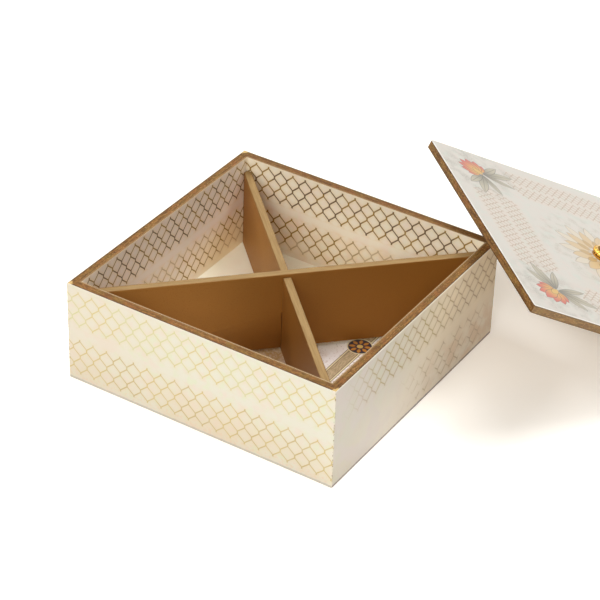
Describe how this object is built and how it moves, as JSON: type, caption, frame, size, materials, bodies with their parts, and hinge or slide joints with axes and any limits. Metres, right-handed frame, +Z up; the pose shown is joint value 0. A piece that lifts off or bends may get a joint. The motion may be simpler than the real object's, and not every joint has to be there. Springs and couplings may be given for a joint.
{
  "type": "sweet gift box",
  "caption": "Square lidded sweet box of printed board, with two crossing dividers that lift out, four triangular compartments and a knobbed lid leaning on its corner.",
  "frame": {"origin": "middle of the box's underside, at the height of the surface that it stands on", "axes": "+Z up, +X to the right along the front wall, +Y from the front wall to the back wall; the lid leans on the corner at +X +Y"},
  "size_m": [0.3942, 0.3951, 0.0968],
  "materials": {
    "painted_board_edge": "mottled bronze-brown paint on the cut edges of the board",
    "divider_paint": "matte brown paint with a tan gold top edge",
    "outer_print": "satin laminate, cream with bands of a thin gold trellis",
    "inner_print": "satin laminate, warm cream with bands of a brown and gold trellis",
    "floor_print": "satin laminate, pale with a plain banded design",
    "lid_print": "smooth satin laminate, pale grey-white with faint trellis patches",
    "knob_brass": "polished",
    "zinc_steel": "zinc plated"
  },
  "bodies": {
    "box": {"base_panel": "painted_board_edge", "front_wall": "painted_board_edge", "right_wall": "painted_board_edge", "back_wall": "painted_board_edge", "left_wall": "painted_board_edge", "front_print": "outer_print", "right_print": "outer_print", "back_print": "outer_print", "left_print": "outer_print", "front_lining": "inner_print", "right_lining": "inner_print", "back_lining": "inner_print", "left_lining": "inner_print", "floor_lining": "floor_print"},
    "lower_divider": {"lower_divider": "divider_paint"},
    "upper_divider": {"upper_divider": "divider_paint"},
    "lid": {"lid_panel": "painted_board_edge", "lid_print": "lid_print", "lid_inner_panel": "divider_paint", "knob_plate": "knob_brass", "knob": "knob_brass", "knob_screw": "zinc_steel", "knob_washer": "zinc_steel"}
  },
  "joints": [
    {"name": "lower_divider_lift", "type": "slide", "parent": "box", "child": "lower_divider", "axis": [0, 0, 1], "range_m": [0, 0.075]},
    {"name": "upper_divider_lift", "type": "slide", "parent": "lower_divider", "child": "upper_divider", "axis": [0, 0, 1], "range_m": [0, 0.075]},
    {"name": "lid_lift", "type": "slide", "parent": "upper_divider", "child": "lid", "axis": [0, 0, 1], "range_m": [0, 0.1]}
  ]
}
